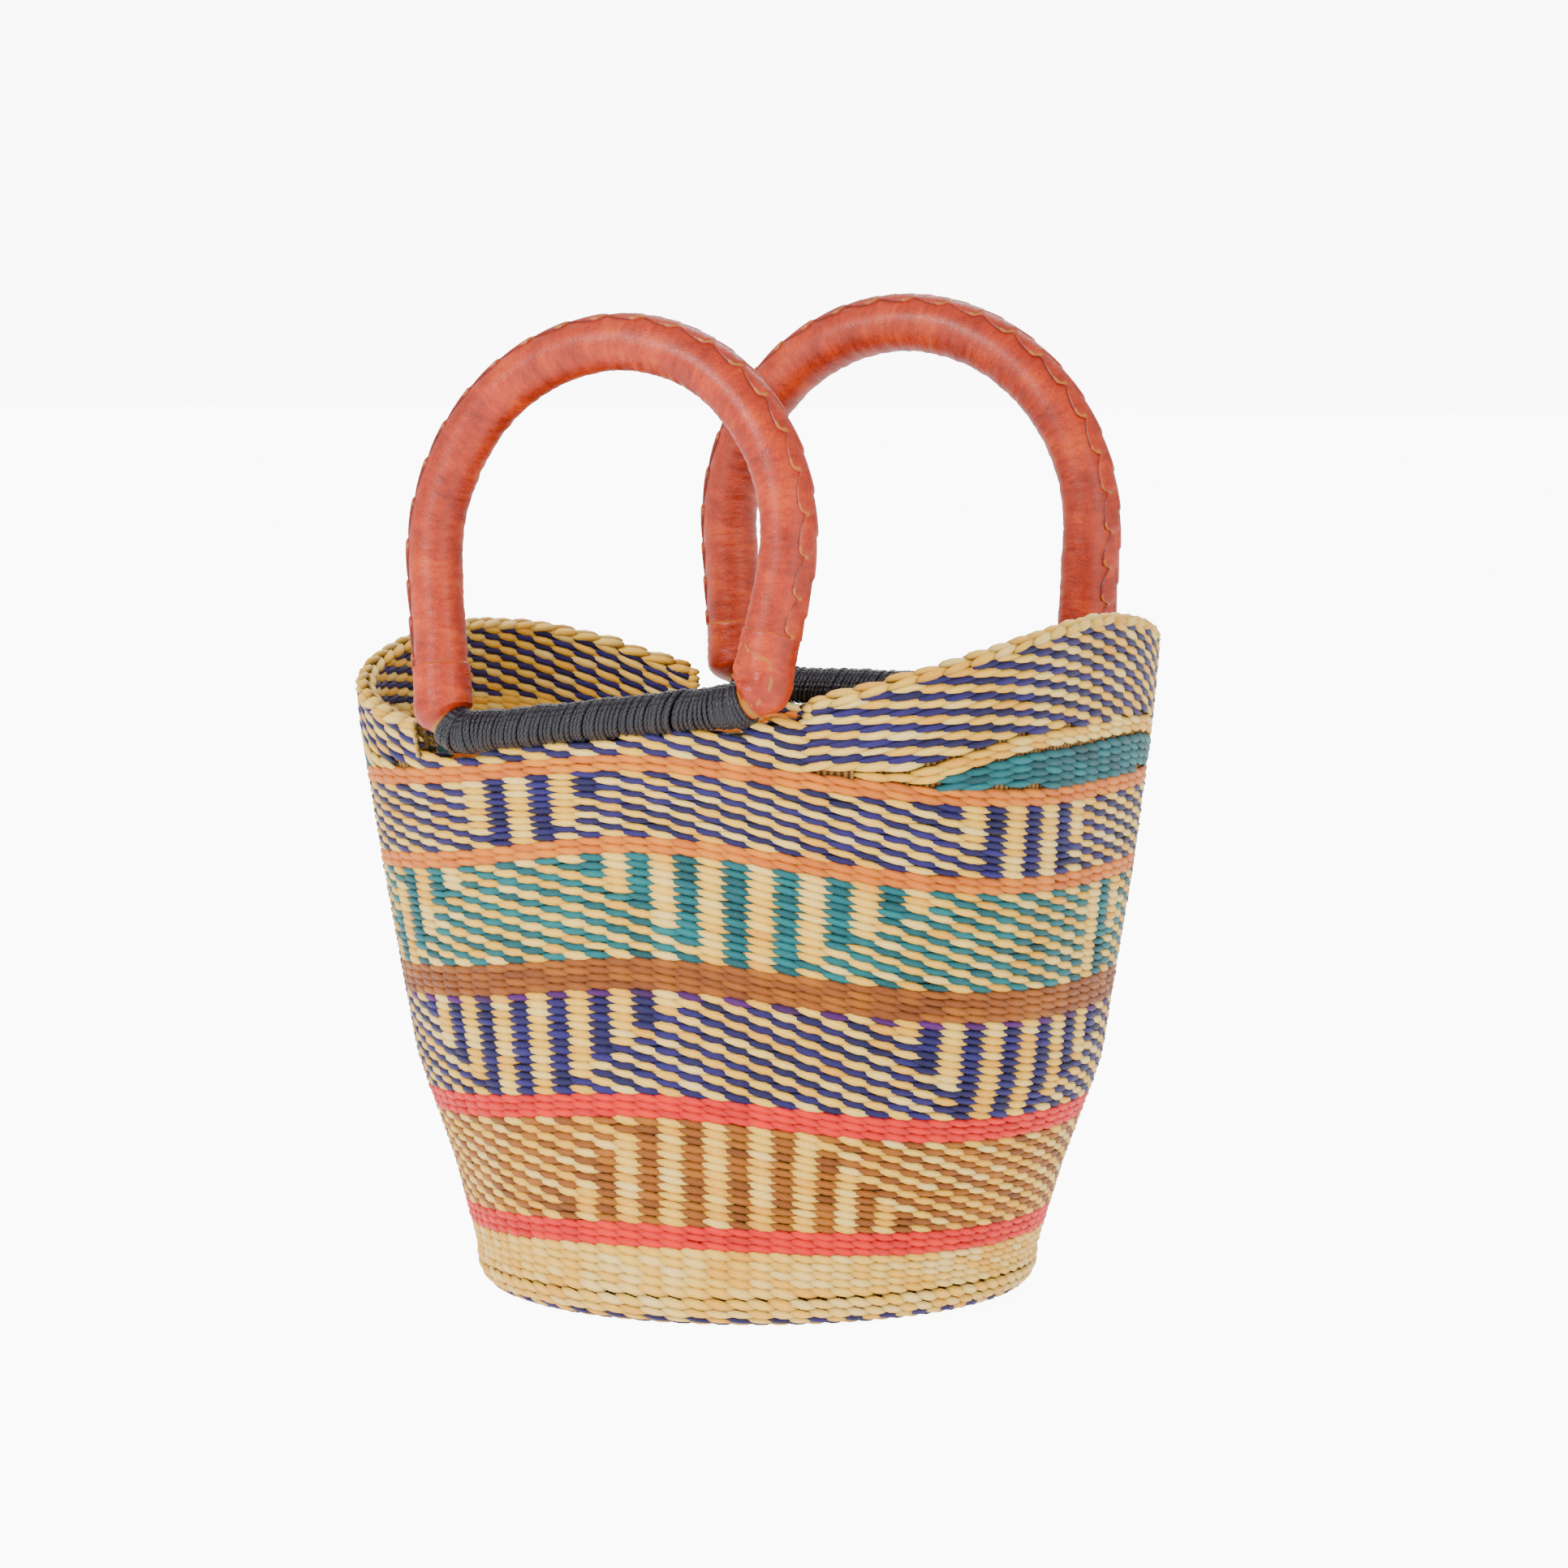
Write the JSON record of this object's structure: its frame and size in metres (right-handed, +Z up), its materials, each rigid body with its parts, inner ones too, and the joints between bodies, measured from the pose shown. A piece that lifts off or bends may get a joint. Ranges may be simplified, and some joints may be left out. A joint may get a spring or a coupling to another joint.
{
  "type": "woven market basket",
  "caption": "Twined grass shopping basket with a round base, an oval mouth, a rim that peaks at both ends, and leather-covered loop handles that swing on the rim.",
  "frame": {"origin": "middle of the base, on the surface that the basket stands on", "axes": "+Z up; +X from the middle to the higher rim peak, along the basket's length; -Y towards the front handle"},
  "size_m": [0.3604, 0.3336, 0.4689],
  "materials": {
    "natural_straw": "twined natural grass, dry and slightly glossy",
    "purple_straw": "dyed indigo purple grass twined with natural grass",
    "teal_straw": "dyed teal grass",
    "orange_straw": "dyed orange grass",
    "rust_straw": "dyed rust grass",
    "brown_straw": "dyed brown grass twined with natural grass",
    "coral_straw": "dyed coral grass",
    "black_cord": "tightly wound blue-black twisted grass cord",
    "tan_leather": "soft tanned goat leather, wrinkled and slightly glossy",
    "grass_bundle": "bent bundle of grass stems, hidden"
  },
  "bodies": {
    "basket": {"base_disc": "natural_straw", "base_edge_ring": "natural_straw", "natural_foot_band": "natural_straw", "lower_coral_band": "coral_straw", "brown_pattern_band": "brown_straw", "upper_coral_band": "coral_straw", "lower_purple_pattern_band": "purple_straw", "rust_band": "rust_straw", "teal_pattern_band": "teal_straw", "lower_orange_band": "orange_straw", "upper_purple_pattern_band": "purple_straw", "upper_orange_band": "orange_straw", "right_teal_wedge": "teal_straw", "left_teal_wedge": "teal_straw", "right_natural_wedge": "natural_straw", "left_natural_wedge": "natural_straw", "right_rim_rows": "purple_straw", "left_rim_rows": "purple_straw", "front_rim_rows": "purple_straw", "rear_rim_rows": "purple_straw", "right_rim_border": "natural_straw", "left_rim_border": "natural_straw", "front_rim_lashing": "black_cord", "rear_rim_lashing": "black_cord"},
    "front_handle": {"front_handle_core": "grass_bundle", "front_handle_leather": "tan_leather", "front_handle_lacing": "tan_leather", "front_left_cuff": "tan_leather", "front_right_cuff": "tan_leather"},
    "rear_handle": {"rear_handle_core": "grass_bundle", "rear_handle_leather": "tan_leather", "rear_handle_lacing": "tan_leather", "rear_left_cuff": "tan_leather", "rear_right_cuff": "tan_leather"}
  },
  "joints": [
    {"name": "front_handle_swing", "type": "hinge", "parent": "basket", "child": "front_handle", "pos_m": [0.0005, -0.153, 0.2763], "axis": [-0.993, 0, -0.1184], "range_deg": [-45, 30]},
    {"name": "rear_handle_swing", "type": "hinge", "parent": "basket", "child": "rear_handle", "pos_m": [0.002, 0.153, 0.273], "axis": [1, 0, 0], "range_deg": [-45, 32]}
  ]
}
